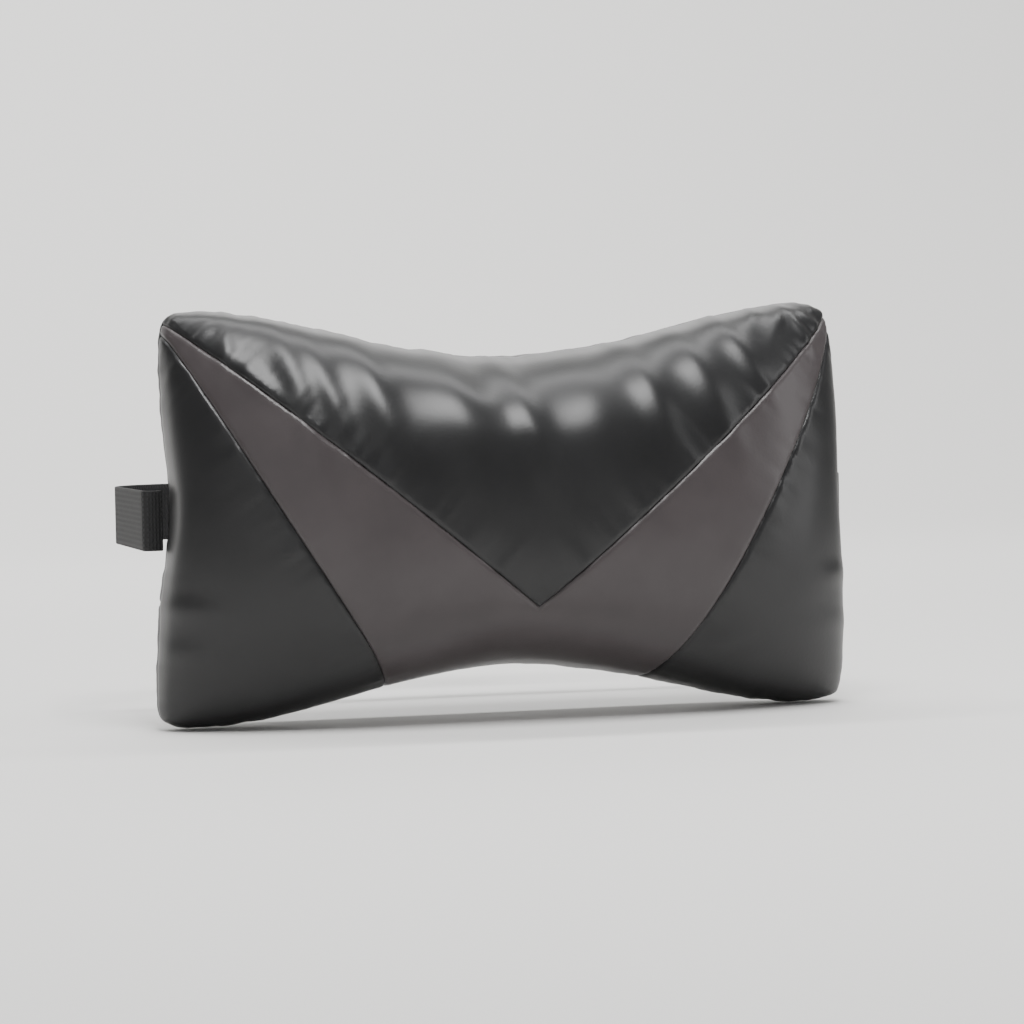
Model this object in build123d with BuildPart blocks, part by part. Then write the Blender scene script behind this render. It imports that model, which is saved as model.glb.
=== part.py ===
from build123d import *
from math import cos, hypot, pi, sin
import os

# Strap-on support cushion for a high-backed office or gaming chair.
# Millimetres. The origin is the middle of the flat back face, which bears on the
# chair's backrest. +X is to the right seen from the front, +Y goes back into the
# chair and +Z is up, so the padded front faces -Y.

# ---- cushion ------------------------------------------------------------------
cushion_width = 300.0  # side to side
end_height = 172.0  # near the two ends, before the corners round off
waist_height = 128.0  # at the middle, where the long edges dip
seam_setback = 22.0  # from the flat back forward to the perimeter seam
front_depth = 62.0  # from the perimeter seam forward to the crown
back_depth = 30.0  # from the perimeter seam back to the crown that the flat cuts
outline_power = 14.0  # squareness of the corners, seen from the front
depth_power = 2.6  # how the depth runs out towards the two ends
section_power = 2.5  # squareness of a section across the cushion
half_stations = [0.22, 0.43, 0.62, 0.77, 0.88, 0.95, 0.99]  # shares of the half width
section_points = 12  # points round each section

# ---- cover panels -------------------------------------------------------------
cover_wall = 1.2  # coated fabric
notch_height = -38.0  # where the black upper panel comes to its point
chevron_foot = 46.0  # half width of the chevron, level with the lower corners
chevron_bow = 3.0  # how far each outer edge of the chevron bows out
liner_gap = 0.3  # between the cover and the liner bag
liner_wall = 0.5
fill_gap = 0.2  # between the liner bag and the filling

# ---- zip, across the lower back -----------------------------------------------
zip_rise = 30.0  # from the waist's lower edge up to the middle of the zip
zip_length = 188.0  # of the opening in the back of the cover
zip_opening = 10.4  # height of that opening
tape_wall = 0.5
tape_width = 11.0
tape_gap = 1.7  # from the zip's middle line to each tape's edge
tape_margin = 4.0  # how far the tapes run past the opening at each end
tooth_pitch = 2.0
tooth_reach = 2.9  # from the middle line to the root of a tooth
tooth_lap = 0.7  # past the middle line to its tip
tooth_height = 2.4
slider_length = 10.0
slider_width = 8.6
slider_wall = 1.2
slider_clearance = 0.3
pull_length = 25.0
pull_width = 8.0
pull_wall = 1.4

# ---- strap --------------------------------------------------------------------
webbing_width = 25.0
webbing_wall = 1.6
webbing_gap = 0.3  # between webbing and what it lies against
backrest_depth = 91.0  # room for the chair between the cushion and the rear run
backrest_corner = 34.0  # the strap's bend round each rear corner of the backrest
strap_standoff = 2.0  # from the cushion's side to the middle of each side run of the strap
tail_end = -84.0  # X of the free end of the webbing
return_length = 24.0  # doubled webbing sewn down beside the socket

# ---- side-release buckle ------------------------------------------------------
buckle_rim = 4.5  # from the webbing's edge to the outside of the buckle
socket_thickness = 11.0
socket_wall = 2.0
socket_mouth = -6.5  # X of the socket's mouth
cavity_end = 21.5  # X of the end of the socket's cavity
cavity_half_width = 13.2
window_start = 8.4
window_end = 19.6
strap_slot = 4.3  # length of each slot that webbing goes through
slot_clearance = 0.7  # each side of the webbing in a slot
bar_length = 3.8
plug_land = 6.0  # solid web that carries the prongs and the tongue
plug_stop_gap = 1.5  # between the plug's land and the socket's mouth
plug_thickness = 6.2
tongue_length = 25.0
tongue_half_width = 4.0
tongue_thickness = 3.2
prong_thickness = 5.2
prong_root = 2.2  # radius of the round root that a prong flexes about
prong_root_height = 8.6
prong_clearance = 0.05

# ---- small parts --------------------------------------------------------------
keeper_length = 9.0
keeper_wall = 1.8
keeper_position = -104.0
stitch_length = 2.4
stitch_thread = 0.5
stitch_pitch = 3.6
label_width = 18.0
label_length = 28.0
label_wall = 0.5
label_position = -109.5

# ---- worked out ---------------------------------------------------------------
half_width = cushion_width / 2
strap_side = half_width + strap_standoff  # from the middle to each side run of the strap
zip_height = zip_rise - waist_height / 2
buckle_width = webbing_width + 2 * buckle_rim
stations = [-share for share in reversed(half_stations)] + [0.0] + half_stations
chain_plane = -cover_wall - 0.1 - tape_wall / 2  # Y of the middle of the zip's chain
run_plane = backrest_depth + webbing_wall / 2  # Y of the middle of the rear run
layer_step = webbing_wall + webbing_gap  # from one layer of webbing to the next
bar_bottom = run_plane + layer_step + webbing_wall / 2 + 0.3
bar_wall = 3.2
buckle_plane = bar_bottom + bar_wall / 2
over_bar = bar_bottom + bar_wall + 0.2 + webbing_wall / 2
far = 4 * cushion_width

os.makedirs("parts", exist_ok=True)


def write(piece, name):
    piece.label = name
    export_step(piece, f"parts/{name}.step")
    print(name, round(piece.volume, 1), "mm3", len(piece.solids()), "solid(s)")


# ---- cushion forms ------------------------------------------------------------
def signed_power(value, power):
    return abs(value) ** power * (1 if value >= 0 else -1)


def half_height(share):
    """Half the cushion's height at a share of its half width: a dipped waist, round corners."""
    dip = (1 - cos(pi * min(1.0, abs(share)))) / 2
    straight = waist_height / 2 + (end_height - waist_height) / 2 * dip
    return straight * (1 - abs(share) ** outline_power) ** (1 / outline_power)


def depth_share(share):
    return (1 - abs(share) ** depth_power) ** (1 / depth_power)


def section(share, inset):
    """Points round one section across the cushion, in Y and Z: full in front, shallow behind."""
    height = half_height(share) - inset
    points = []
    for step in range(section_points):
        angle = 2 * pi * step / section_points
        depth = back_depth if cos(angle) > 0 else front_depth
        reach = depth * depth_share(share) - inset
        y = -seam_setback + reach * signed_power(cos(angle), 2 / section_power)
        z = height * signed_power(sin(angle), 2 / section_power)
        points.append((y, z))
    return points


def cushion_form(inset):
    """The cushion's closed form, taken in all round by inset, with its flat back."""
    with BuildPart() as form:
        for share in stations:
            with BuildSketch(Plane.YZ.offset(share * (half_width - inset))):
                with BuildLine():
                    Spline(*section(share, inset), periodic=True)
                make_face()
        loft()
        with Locations((0, far / 2 - inset, 0)):
            Box(far, far, far, mode=Mode.SUBTRACT)
    return form.part


def zip_channel(grow):
    """The hollow that the filling and its bag leave behind the zip."""
    depth = 5.6 + grow
    with BuildPart() as channel:
        with Locations((0, -depth / 2, zip_height)):
            Box(zip_length + 2 * (tape_margin + 3 + grow), depth, 2 * (tape_width + 3 + grow))
    return channel.part


outer_form = cushion_form(0)
cover_inside = cushion_form(cover_wall)
liner_outside = cushion_form(cover_wall + liner_gap) - zip_channel(0)
liner_inside = cushion_form(cover_wall + liner_gap + liner_wall) - zip_channel(liner_wall)
fill_form = cushion_form(cover_wall + liner_gap + liner_wall + fill_gap) - zip_channel(
    liner_wall + fill_gap
)
cover_shell = outer_form - cover_inside
liner_shell = liner_outside - liner_inside


def front_half(shell):
    """What lies in front of the perimeter seam."""
    with BuildPart() as half:
        add(shell)
        with Locations((0, far / 2 - seam_setback, 0)):
            Box(far, far, far, mode=Mode.SUBTRACT)
    return half.part


def back_half(shell):
    """What lies behind the perimeter seam."""
    with BuildPart() as half:
        add(shell)
        with Locations((0, -far / 2 - seam_setback, 0)):
            Box(far, far, far, mode=Mode.SUBTRACT)
    return half.part


# ---- strap --------------------------------------------------------------------
def ribbon(points, radii, width, wall, plane):
    """Webbing or tape that follows a route of straight runs and bends, seen edge on."""
    with BuildPart() as band:
        with BuildSketch(plane.offset(-width / 2)):
            with BuildLine() as route:
                FilletPolyline(*points, radius=radii)
            with BuildLine(mode=Mode.PRIVATE) as edge:
                offset(route.line, amount=wall / 2, side=Side.BOTH)
            make_face(edge.edges())
        extrude(amount=width)
    return band.part


strap_entry = half_stations[-1] * (half_width - cover_wall - 0.1) + webbing_wall / 2
plug_left = socket_mouth - plug_stop_gap - plug_land - 2 * strap_slot - 2 * bar_length
inner_slot = socket_mouth - plug_stop_gap - plug_land - strap_slot / 2
outer_slot = inner_slot - strap_slot - bar_length
socket_slot = cavity_end + socket_wall + strap_slot / 2
socket_right = socket_slot + strap_slot / 2 + bar_length
strap_bend = 1.6  # at the middle of the webbing, where it turns round a bar
seam_bend = 2.0  # where it turns out of the side seam
return_step = layer_step + 0.05


def left_route():
    """From the left side seam round the backrest, up through the plug and back as the tail."""
    return [
        (-strap_entry, -seam_setback),
        (-strap_side, -seam_setback),
        (-strap_side, run_plane),
        (inner_slot, run_plane),
        (inner_slot, over_bar),
        (outer_slot, over_bar),
        (outer_slot, run_plane + layer_step),
        (tail_end, run_plane + layer_step),
    ]


def right_route():
    """From the right side seam round the backrest, up through the socket's slot and back."""
    sewn_start = socket_right + 8.0
    return [
        (strap_entry, -seam_setback),
        (strap_side, -seam_setback),
        (strap_side, run_plane),
        (socket_slot, run_plane),
        (socket_slot, over_bar),
        (socket_right + 2.0, over_bar),
        (sewn_start, run_plane + return_step),
        (sewn_start + return_length, run_plane + return_step),
    ]


left_radii = [seam_bend, backrest_corner, strap_bend, strap_bend, strap_bend, strap_bend]
right_radii = [seam_bend, backrest_corner, strap_bend, strap_bend, 2.4, 2.4]
strap_left = ribbon(left_route(), left_radii, webbing_width, webbing_wall, Plane.XY)
strap_right = ribbon(right_route(), right_radii, webbing_width, webbing_wall, Plane.XY)


def seam_slot(side):
    """The gap in the side seam that the webbing comes out of."""
    with BuildPart() as slot:
        with Locations((side * half_width, -seam_setback, 0)):
            Box(16 * cover_wall, webbing_wall + 0.1, webbing_width + 0.4)
    return slot.part


# ---- cover panels -------------------------------------------------------------
front_shell = front_half(cover_shell) - seam_slot(-1) - seam_slot(1)
back_shell = back_half(cover_shell) - seam_slot(-1) - seam_slot(1)


def mirrored(point):
    return (-point[0], point[1])


notch = (0, notch_height)
top_corner = (half_width, end_height / 2)
run_out = (2 * half_width, 2 * top_corner[1] - notch_height)
foot = (chevron_foot, -end_height / 2)
edge_length = hypot(top_corner[0] - foot[0], top_corner[1] - foot[1])
bow_middle = (
    (top_corner[0] + foot[0]) / 2 + chevron_bow * (top_corner[1] - foot[1]) / edge_length,
    (top_corner[1] + foot[1]) / 2 - chevron_bow * (top_corner[0] - foot[0]) / edge_length,
)


def outer_edge(side):
    """The bowed seam from a top corner down to the chevron's foot."""
    ends = [top_corner, bow_middle, foot]
    ThreePointArc(*[point if side > 0 else mirrored(point) for point in ends])


def cut_panel(outline):
    """The part of the front cover inside a closed outline drawn in X and Z."""
    with BuildPart() as piece:
        add(front_shell)
        with BuildSketch(Plane.XZ):
            make_face(outline.edges())
        extrude(amount=far, both=True, mode=Mode.INTERSECT)
    return piece.part


with BuildLine() as upper_outline:
    Polyline(notch, run_out, (0, run_out[1] + far), mirrored(run_out), close=True)

with BuildLine() as chevron_outline:
    Polyline(mirrored(top_corner), notch, top_corner)
    outer_edge(1)
    Polyline(foot, (foot[0], -far), (-foot[0], -far), mirrored(foot))
    outer_edge(-1)

with BuildLine() as right_outline:
    outer_edge(1)
    Polyline(top_corner, run_out, (far, -far), (foot[0], -far), foot)

with BuildLine() as left_outline:
    outer_edge(-1)
    Polyline(*[mirrored(p) for p in (top_corner, run_out, (far, -far), (foot[0], -far), foot)])

write(cut_panel(upper_outline), "cover_front_upper")
write(cut_panel(chevron_outline), "cover_front_chevron")
write(cut_panel(right_outline), "cover_front_right")
write(cut_panel(left_outline), "cover_front_left")


def label_route():
    """From inside the back seam out over the lower back panel, in Y and Z."""
    out = webbing_gap + label_wall / 2
    start = -cover_wall + label_wall / 2
    return [(start, zip_height), (out, zip_height), (out, zip_height - label_length)]


label_plane = Plane.YZ.offset(label_position)
care_label = ribbon(label_route(), [0.5], label_width, label_wall, label_plane)


def label_slot():
    with BuildPart() as slot:
        with Locations((label_position, 0, zip_height)):
            Box(label_width + 0.4, 8 * cover_wall, label_wall + 0.1)
    return slot.part


def zip_window():
    with BuildPart() as window:
        with Locations((0, 0, zip_height)):
            Box(zip_length, 4 * cover_wall, zip_opening)
    return window.part


def back_panel(above):
    """The back of the cover above or below the zip's line."""
    with BuildPart() as piece:
        add(back_shell - zip_window() - label_slot())
        side = -1 if above else 1
        with Locations((0, 0, zip_height + side * far / 2)):
            Box(far, far, far, mode=Mode.SUBTRACT)
    return piece.part


write(back_panel(True), "cover_back_upper")
write(back_panel(False), "cover_back_lower")
write(care_label, "care_label")

# ---- inside -------------------------------------------------------------------
write(front_half(liner_shell), "liner_front")
write(back_half(liner_shell), "liner_back")
write(fill_form, "fill_core")


# ---- zip ----------------------------------------------------------------------
def tape(side):
    """One woven tape, sewn under the edge of the opening."""
    with BuildPart() as strip:
        middle = zip_height + side * (tape_gap + tape_width / 2)
        with Locations((0, chain_plane, middle)):
            Box(zip_length + 2 * tape_margin, tape_wall, tape_width)
    return strip.part


chain_start = -zip_length / 2 + 6.0
slider_rest = zip_length / 2 - 9.6  # X of the slider's middle with the zip closed
chain_end = slider_rest + 0.5
tooth_count = int((chain_end - chain_start) / tooth_pitch)


def tooth_row(side):
    """A row of teeth on a cord, each one lapping between two of the other row."""
    shift = tooth_pitch / 2 if side > 0 else 0
    cord_height = 1.0
    with BuildPart() as row:
        cord_middle = zip_height + side * (tooth_reach - cord_height / 2)
        with Locations(((chain_start + chain_end) / 2, chain_plane, cord_middle)):
            Box(chain_end - chain_start + tooth_pitch, tooth_height, cord_height)
        length = tooth_reach + tooth_lap
        middle = zip_height + side * (tooth_reach - length / 2)
        for tooth in range(tooth_count):
            x = chain_start + shift + (tooth + 0.25) * tooth_pitch
            with Locations((x, chain_plane, middle)):
                Box(tooth_pitch * 0.46, tooth_height * 0.84, length)
        with Locations(((chain_start + chain_end) / 2, chain_plane, zip_height + side * 2.1)):
            Box(far, tape_wall + 0.04, 2 * (2.1 - tape_gap) + 2.4, mode=Mode.SUBTRACT)
    return row.part


def stop_block(x, side, width):
    with BuildPart() as block:
        with Locations((x, chain_plane, zip_height + side * (tape_gap + width / 2 - 0.9))):
            Box(3.0, tooth_height, width)
            Box(far, tape_wall + 0.04, far, mode=Mode.SUBTRACT)
    return block.part


def slider():
    """Two plates joined by a wedge, open at the sides for the tapes, with a bridge for the pull."""
    inner = tooth_height / 2 + slider_clearance
    outer = inner + slider_wall
    half = slider_length / 2
    rail = inner - tape_wall / 2 - 0.3
    with BuildPart() as body:
        for side in (-1, 1):
            with Locations((slider_rest, chain_plane + side * (inner + slider_wall / 2), zip_height)):
                Box(slider_length, slider_wall, slider_width)
            for edge in (-1, 1):
                with Locations(
                    (
                        slider_rest,
                        chain_plane + side * (inner - rail / 2),
                        zip_height + edge * (slider_width / 2 - 0.4),
                    )
                ):
                    Box(slider_length, rail, 0.8)
        with BuildSketch(Plane.XZ.offset(-chain_plane)):
            with BuildLine():
                Polyline(
                    (slider_rest + half - 3.6, zip_height),
                    (slider_rest + half - 1.8, zip_height + 1.1),
                    (slider_rest + half, zip_height + 1.1),
                    (slider_rest + half, zip_height - 1.1),
                    (slider_rest + half - 1.8, zip_height - 1.1),
                    close=True,
                )
            make_face()
        extrude(amount=inner + slider_wall / 2, both=True)
        corners = body.edges().filter_by(Axis.Y).group_by(Axis.X)
        long_corners = [e for e in corners[0] + corners[-1] if e.length > slider_wall * 0.9]
        chamfer([e for e in long_corners if abs(e.center().Z - zip_height) > 3], length=0.7)
        top = chain_plane + outer
        for side in (-1, 1):
            with Locations((slider_rest + side * 3.1, top + 1.5, zip_height)):
                Box(1.0, 3.0, 2.0)
        with Locations((slider_rest, top + 2.65, zip_height)):
            Box(7.2, 0.9, 2.0)
    return body.part


pivot_plane = chain_plane + tooth_height / 2 + slider_clearance + slider_wall + 1.15


def pull():
    """A flat tab, lying over the closed teeth, whose round end bar turns under the bridge."""
    bar_radius = 0.75
    eye_length = 6.4
    with BuildPart() as tab:
        with BuildSketch(Plane.XZ.offset(-pivot_plane)):
            with Locations((slider_rest - pull_length / 2, zip_height)):
                RectangleRounded(pull_length, pull_width, 2.6)
            with Locations((slider_rest - eye_length / 2 - 0.2, zip_height)):
                Rectangle(eye_length, 3.6, mode=Mode.SUBTRACT)
            with Locations((slider_rest - pull_length + 4.5, zip_height)):
                SlotOverall(5.0, 2.2, rotation=90, mode=Mode.SUBTRACT)
        extrude(amount=pull_wall / 2, both=True)
        with Locations((slider_rest, pivot_plane, zip_height)):
            Box(1.6, far, far, mode=Mode.SUBTRACT)
            Cylinder(bar_radius, pull_width)
        leg = pull_width / 2 - 1.8
        for side in (-1, 1):
            with Locations((slider_rest - 0.5, pivot_plane, zip_height + side * (1.8 + leg / 2))):
                Box(1.0, pull_wall * 0.9, leg)
    return tab.part


stops = stop_block(zip_length / 2 - 2.0, 1, 3.4) + stop_block(zip_length / 2 - 2.0, -1, 3.4)
write(tape(1), "zip_tape_upper")
write(tape(-1), "zip_tape_lower")
write(tooth_row(1), "zip_teeth_upper")
write(tooth_row(-1), "zip_teeth_lower")
write(stops, "zip_top_stops")
write(slider(), "zip_slider")
write(pull(), "zip_pull")


def bottom_stop():
    """A clamp that bridges both tapes at the end where the zip stops opening."""
    with BuildPart() as block:
        with Locations((-zip_length / 2 + 2.5, chain_plane, zip_height)):
            Box(3.4, tooth_height, 2 * tooth_reach + 1.6)
            for side in (-1, 1):
                with Locations((0, 0, side * (tape_gap + 5.0 - 0.04))):
                    Box(far, tape_wall + 0.04, 10.0, mode=Mode.SUBTRACT)
    return block.part


write(bottom_stop(), "zip_bottom_stop")

# ---- webbing ------------------------------------------------------------------
write(strap_left, "strap_left")
write(strap_right, "strap_right")


def box_stitch():
    """A sewn box that holds the doubled webbing down beside the socket."""
    top = run_plane + return_step + webbing_wall / 2 + stitch_thread / 4
    start = socket_right + 11.0
    columns = int((return_length - 5.0) / stitch_pitch) + 1
    rows = int((webbing_width - 5.0) / stitch_pitch) + 1
    half_rows = (rows - 1) * stitch_pitch / 2
    with BuildPart() as threads:
        for column in range(columns):
            for edge in (-1, 1):
                x = start + column * stitch_pitch
                with Locations((x, top, edge * half_rows)):
                    Box(stitch_length, stitch_thread / 2, stitch_thread)
        for row in range(1, rows - 1):
            for end in (0, columns - 1):
                x = start + end * stitch_pitch
                with Locations((x, top, -half_rows + row * stitch_pitch)):
                    Box(stitch_thread, stitch_thread / 2, stitch_length)
    return threads.part


def keeper():
    """A moulded ring that holds the strap's free tail against the run."""
    hole_wall = layer_step + webbing_wall + 2 * webbing_gap
    hole_width = webbing_width + 2 * webbing_gap
    middle = run_plane + layer_step / 2
    with BuildPart() as ring:
        with BuildSketch(Plane.YZ.offset(keeper_position)):
            with Locations((middle, 0)):
                RectangleRounded(hole_wall + 2 * keeper_wall, hole_width + 2 * keeper_wall, 1.6)
                Rectangle(hole_wall, hole_width, mode=Mode.SUBTRACT)
        extrude(amount=keeper_length / 2, both=True)
        rim = ring.edges().group_by(Axis.X)
        outer_rim = [e for e in rim[0] + rim[-1] if abs(e.center().Z) > hole_width / 2 + 1]
        chamfer(outer_rim, length=0.5)
    return ring.part


write(box_stitch(), "strap_box_stitch")
write(keeper(), "strap_keeper")


# ---- buckle -------------------------------------------------------------------
def slot_opening(x):
    with Locations((x, buckle_plane, 0)):
        Box(strap_slot, far, webbing_width + 2 * slot_clearance, mode=Mode.SUBTRACT)


def socket():
    """The socket: a flat box with side windows, open at its mouth, and a bar for the webbing."""
    length = socket_right - socket_mouth
    bar_top = buckle_plane + bar_wall / 2
    with BuildPart() as body:
        with BuildSketch(Plane.XZ.offset(-buckle_plane)):
            with Locations(((socket_right + socket_mouth) / 2, 0)):
                RectangleRounded(length, buckle_width, 4.0)
        extrude(amount=socket_thickness / 2, both=True)
        rims = body.faces().filter_by(Axis.Y).edges()
        fillet(rims, radius=1.6)
        cavity = cavity_end - socket_mouth
        with Locations((socket_mouth + cavity / 2, buckle_plane, 0)):
            Box(cavity, socket_thickness - 2 * socket_wall, 2 * cavity_half_width, mode=Mode.SUBTRACT)
        with Locations(((window_start + window_end) / 2, buckle_plane, 0)):
            Box(window_end - window_start, prong_thickness + 1.2, far, mode=Mode.SUBTRACT)
        slot_opening(socket_slot)
        bar_end = socket_right - bar_length / 2
        for low, high in ((-far, bar_bottom), (bar_top, far)):
            with Locations((bar_end, (max(low, 0) + min(high, 2 * run_plane)) / 2, 0)):
                Box(
                    bar_length + 0.2,
                    min(high, 2 * run_plane) - max(low, 0),
                    webbing_width + 2 * slot_clearance,
                    mode=Mode.SUBTRACT,
                )
    return body.part


def prong_pivot(side):
    return (socket_mouth - plug_stop_gap - prong_root, side * prong_root_height)


def plug():
    """The plug: a frame with two slots for the webbing and a tongue that guides it in."""
    land_end = socket_mouth - plug_stop_gap
    middle = (plug_left + land_end) / 2
    frame_plane = buckle_plane - (plug_thickness - bar_wall) / 2
    with BuildPart() as body:
        with BuildSketch(Plane.XZ.offset(-frame_plane)):
            with Locations((middle, 0)):
                RectangleRounded(land_end - plug_left, buckle_width, 3.0)
        extrude(amount=plug_thickness / 2, both=True)
        fillet(body.faces().filter_by(Axis.Y).edges(), radius=0.8)
        slot_opening(inner_slot)
        slot_opening(outer_slot)
        low = frame_plane - plug_thickness / 2
        webbing_path = webbing_width + 2 * slot_clearance
        with Locations((plug_left + (inner_slot - plug_left) / 2, (low + bar_bottom) / 2 - 1, 0)):
            Box(inner_slot - plug_left + 1, bar_bottom - low + 2, webbing_path, mode=Mode.SUBTRACT)
        with Locations((land_end + tongue_length / 2 - 1, buckle_plane, 0)):
            Box(tongue_length + 2, tongue_thickness, 2 * tongue_half_width)
        tip = body.faces().sort_by(Axis.X)[-1]
        chamfer(tip.edges().filter_by(Axis.Y), length=1.6)
        for side in (-1, 1):
            x, z = prong_pivot(side)
            with Locations((x, buckle_plane, z)):
                Cylinder(
                    prong_root + prong_clearance, far, rotation=(90, 0, 0), mode=Mode.SUBTRACT
                )
            with Locations((x + prong_root, buckle_plane, z)):
                Box(2 * prong_root, far, 3.9, mode=Mode.SUBTRACT)
    return body.part


def prong(side):
    """A sprung arm whose shoulder catches behind the front edge of the socket's window."""
    x, z = prong_pivot(1)
    shoulder = window_start + 0.8
    catch = cavity_half_width + 2.4
    pad = buckle_width / 2 + 0.3
    outline = [
        (x, z - 1.5),
        (x + 12.0, z - 0.6),
        (x + 26.5, z + 0.6),
        (window_end - 0.6, z + 1.6),
        (window_end + 0.6, z + 3.2),
        (window_end - 1.2, pad - 2.6),
        (window_end - 4.4, pad),
        (shoulder + 1.4, pad - 0.6),
        (shoulder, catch - 0.4),
        (shoulder, cavity_half_width - 0.9),
        (x + 6.0, z + 2.0),
        (x, z + 1.5),
    ]
    with BuildPart() as arm:
        with BuildSketch(Plane.XZ.offset(-buckle_plane)):
            with BuildLine():
                Polyline(*[(px, side * pz) for px, pz in outline], close=True)
            make_face()
            with Locations((x, side * z)):
                Circle(prong_root)
        extrude(amount=prong_thickness / 2, both=True)
    return arm.part


write(socket(), "buckle_socket")
write(plug(), "buckle_plug")
write(prong(1), "buckle_prong_upper")
write(prong(-1), "buckle_prong_lower")
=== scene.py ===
import bpy
import bmesh
import math
import numpy as np
from mathutils import Vector, Matrix, kdtree, noise


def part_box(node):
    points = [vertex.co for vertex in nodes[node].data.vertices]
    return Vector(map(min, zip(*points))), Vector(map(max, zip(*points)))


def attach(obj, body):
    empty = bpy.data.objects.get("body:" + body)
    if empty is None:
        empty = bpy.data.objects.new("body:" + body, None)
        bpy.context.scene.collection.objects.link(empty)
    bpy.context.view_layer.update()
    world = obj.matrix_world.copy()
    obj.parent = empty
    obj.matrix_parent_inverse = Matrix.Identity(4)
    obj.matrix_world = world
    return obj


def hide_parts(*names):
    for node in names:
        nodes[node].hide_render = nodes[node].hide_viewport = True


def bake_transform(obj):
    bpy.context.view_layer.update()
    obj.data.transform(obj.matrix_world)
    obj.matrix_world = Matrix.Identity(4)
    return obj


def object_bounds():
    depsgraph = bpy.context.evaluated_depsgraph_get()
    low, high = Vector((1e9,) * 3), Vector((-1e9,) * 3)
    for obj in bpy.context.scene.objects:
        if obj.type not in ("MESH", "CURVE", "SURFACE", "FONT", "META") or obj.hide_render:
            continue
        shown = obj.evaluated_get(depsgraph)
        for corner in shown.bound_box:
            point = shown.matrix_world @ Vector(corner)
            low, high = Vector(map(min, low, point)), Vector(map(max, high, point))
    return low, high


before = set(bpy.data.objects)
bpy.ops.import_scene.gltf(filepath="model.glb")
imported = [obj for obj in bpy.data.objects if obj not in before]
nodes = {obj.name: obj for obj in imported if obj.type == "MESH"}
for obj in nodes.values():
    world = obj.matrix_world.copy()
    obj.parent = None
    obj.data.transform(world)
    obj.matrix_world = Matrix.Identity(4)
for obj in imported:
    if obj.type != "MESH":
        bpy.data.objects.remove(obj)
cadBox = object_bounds()
scene = bpy.context.scene
bpy.ops.object.select_all(action="DESELECT")
print("frame loaded")


# small helpers

def linearHex(code):
    channels = [int(code[i:i + 2], 16) / 255 for i in (1, 3, 5)]
    return tuple(c / 12.92 if c <= 0.04045 else ((c + 0.055) / 1.055) ** 2.4 for c in channels) + (1.0,)


def addNode(tree, kind, settings=None, **links):
    # a key like i1 or Fac names an input, any other key a setting of the node
    node = tree.nodes.new(kind)
    for name, value in (settings or {}).items():
        if name[0] == "i" and name[1:].isdigit():
            node.inputs[int(name[1:])].default_value = value
        elif name in node.inputs:
            node.inputs[name].default_value = value
        else:
            setattr(node, name, value)
    for name, source in links.items():
        tree.links.new(source, node.inputs[int(name[1:])] if name[1:].isdigit() else node.inputs[name])
    return node


def newMaterial(name):
    material = bpy.data.materials.new(name)
    material.use_nodes = True
    tree = material.node_tree
    tree.nodes.clear()
    output = tree.nodes.new("ShaderNodeOutputMaterial")
    shader = tree.nodes.new("ShaderNodeBsdfPrincipled")
    tree.links.new(shader.outputs["BSDF"], output.inputs["Surface"])
    return material, tree, shader


def rampBetween(tree, factor, low, high, lowAt=0.0, highAt=1.0):
    ramp = addNode(tree, "ShaderNodeValToRGB", Fac=factor)
    ramp.color_ramp.elements[0].position, ramp.color_ramp.elements[1].position = lowAt, highAt
    ramp.color_ramp.elements[0].color, ramp.color_ramp.elements[1].color = low, high
    return ramp.outputs["Color"]


def smoothStep(t):
    t = np.clip(t, 0, 1)
    return t * t * (3 - 2 * t)


def clampShare(t):
    return max(0.0, min(1.0, t))


def activate(piece):
    bpy.ops.object.select_all(action="DESELECT")
    piece.select_set(True)
    bpy.context.view_layer.objects.active = piece


def applyModifier(piece, kind, **settings):
    activate(piece)
    modifier = piece.modifiers.new(kind.lower(), kind)
    for name, value in settings.items():
        setattr(modifier, name, value)
    bpy.ops.object.modifier_apply(modifier=modifier.name)


def dress(piece, material):
    piece.data.materials.clear()
    piece.data.materials.append(material)


# materials

def coatedFabric(name, base, lit):
    # polyurethane leathercloth: embossed pebble grain under a satin lacquer, so its highlights are soft
    material, tree, shader = newMaterial(name)
    place = addNode(tree, "ShaderNodeTexCoord").outputs["Object"]
    mottle = {"Scale": 1 / 0.030, "Detail": 3.0}  # patches 30 mm wide
    cloud = addNode(tree, "ShaderNodeTexNoise", mottle, Vector=place).outputs["Fac"]
    tone = rampBetween(tree, cloud, linearHex(base), linearHex(lit), 0.35, 0.70)
    tree.links.new(tone, shader.inputs["Base Color"])
    satin = addNode(tree, "ShaderNodeMapRange", {"To Min": 0.31, "To Max": 0.40}, Value=cloud)
    tree.links.new(satin.outputs["Result"], shader.inputs["Roughness"])
    warp = addNode(tree, "ShaderNodeTexNoise", {"Scale": 1 / 0.004, "Detail": 2.0}, Vector=place)
    wander = {"blend_type": "ADD", "Fac": 0.0012}  # rows of pebbles wander by about 1 mm
    shifted = addNode(tree, "ShaderNodeMixRGB", wander, i1=place, i2=warp.outputs["Color"])
    pebbles = {"feature": "SMOOTH_F1", "Scale": 1 / 0.0013}  # drawn 1.3 mm wide, the real ones are 0.8 mm
    pebble = addNode(tree, "ShaderNodeTexVoronoi", pebbles, Vector=shifted.outputs["Color"])
    emboss = {"Strength": 0.16, "Distance": 0.00012}
    grain = addNode(tree, "ShaderNodeBump", emboss, Height=pebble.outputs["Distance"])
    tree.links.new(grain.outputs["Normal"], shader.inputs["Normal"])
    shader.inputs["IOR"].default_value = 1.5
    shader.inputs["Specular IOR Level"].default_value = 0.4
    return material


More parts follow.
